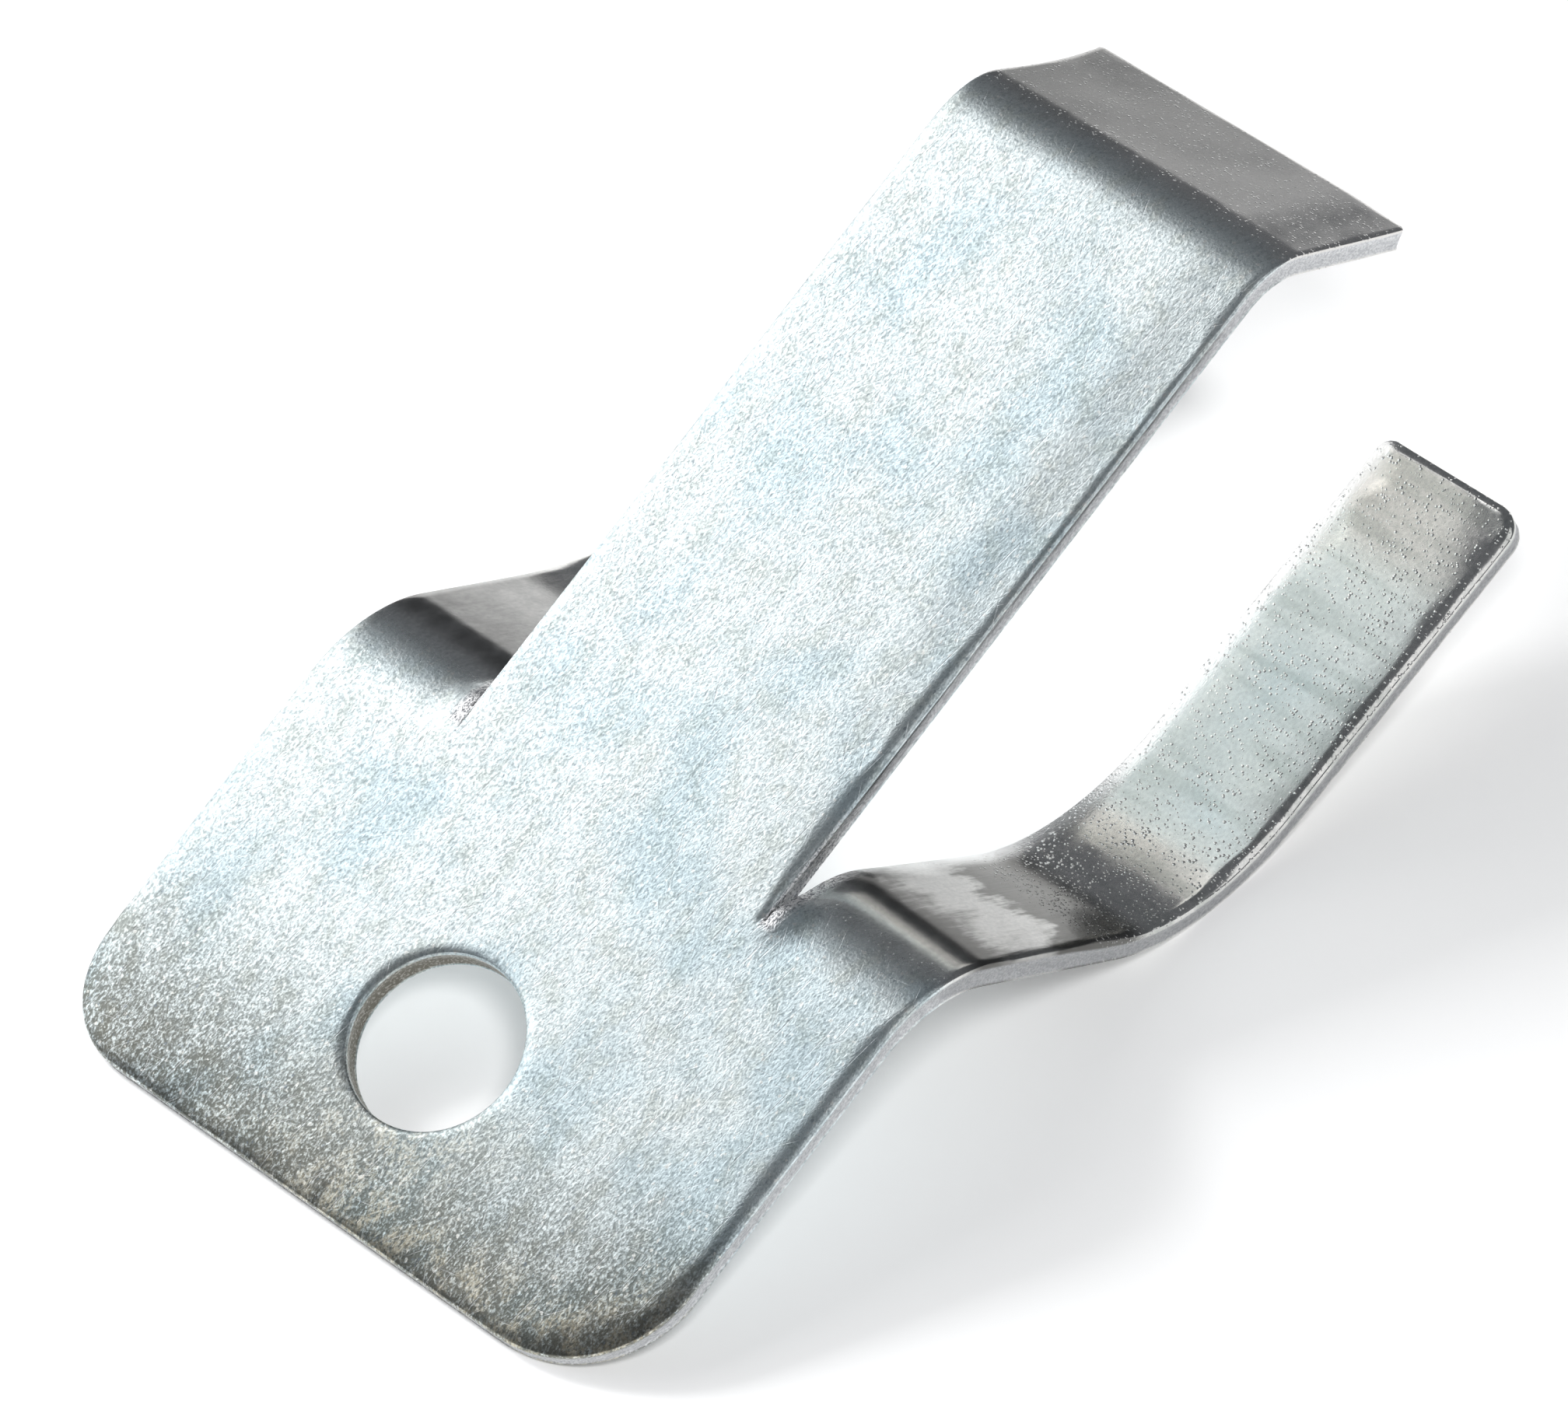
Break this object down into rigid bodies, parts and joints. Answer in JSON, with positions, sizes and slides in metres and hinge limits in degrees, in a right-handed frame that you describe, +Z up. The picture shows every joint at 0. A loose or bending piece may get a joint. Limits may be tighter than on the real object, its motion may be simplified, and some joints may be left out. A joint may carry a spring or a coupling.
{
  "type": "spring clip",
  "caption": "Stamped sheet-steel spring clip: rounded plate with a screw hole, wide tongue with a turned-down lip, and narrow legs joggled down either side of it to grip an edge.",
  "frame": {"origin": "on the bench under the middle of the clip's box, with the clip lying on its plate's back edge and both legs", "axes": "+Z up from the bench, +X from the plate's back edge towards the tongue's lip, +Y across the clip to its left side. Plate and tongue slope up towards +X at 24.2 degrees to the bench"},
  "size_m": [0.0522, 0.0288, 0.0205],
  "materials": {
    "zinc_plated_steel": "bright zinc plate, satin, faintly grained along the tongue, with fine scratches and light yellow staining at the plate's back edge"
  },
  "bodies": {
    "root": {"spring_clip": "zinc_plated_steel"}
  },
  "joints": []
}
